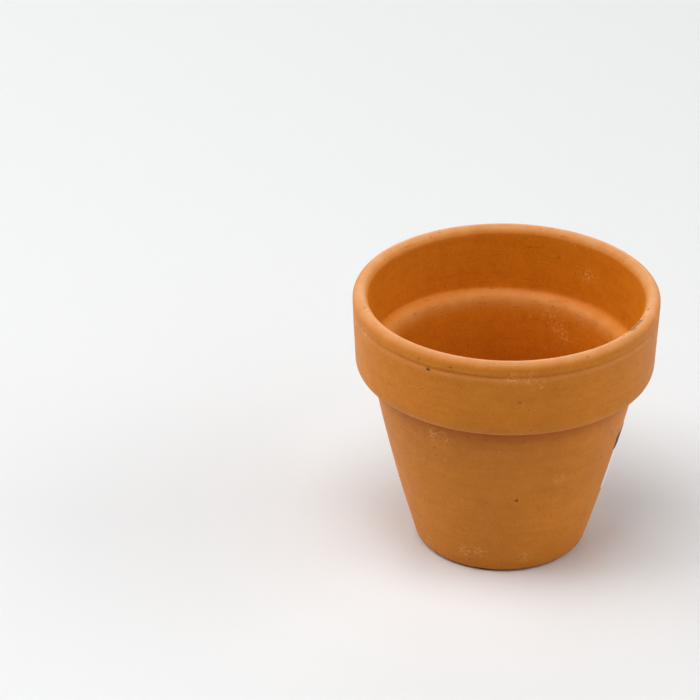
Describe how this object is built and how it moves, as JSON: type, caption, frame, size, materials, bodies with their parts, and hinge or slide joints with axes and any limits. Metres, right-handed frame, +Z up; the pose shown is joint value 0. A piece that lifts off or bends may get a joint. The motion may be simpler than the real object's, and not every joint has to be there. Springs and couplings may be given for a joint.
{
  "type": "terracotta pot",
  "caption": "Unglazed clay flower pot: tapered body, deep collar with a rounded lip, inner shoulder, drain hole and a blank paper price label.",
  "frame": {"origin": "centre of the pot's flat underside, where its axis meets the surface that it stands on", "axes": "+Z up along the pot's axis; -Y is the front that faces the viewer; +X is the side with the price label"},
  "size_m": [0.108, 0.108, 0.097],
  "materials": {
    "terracotta": "matte, unglazed and slightly sandy",
    "label_paper": "smooth white paper with a dark printed band along its top"
  },
  "bodies": {
    "root": {"pot_body": "terracotta", "price_label": "label_paper"}
  },
  "joints": []
}
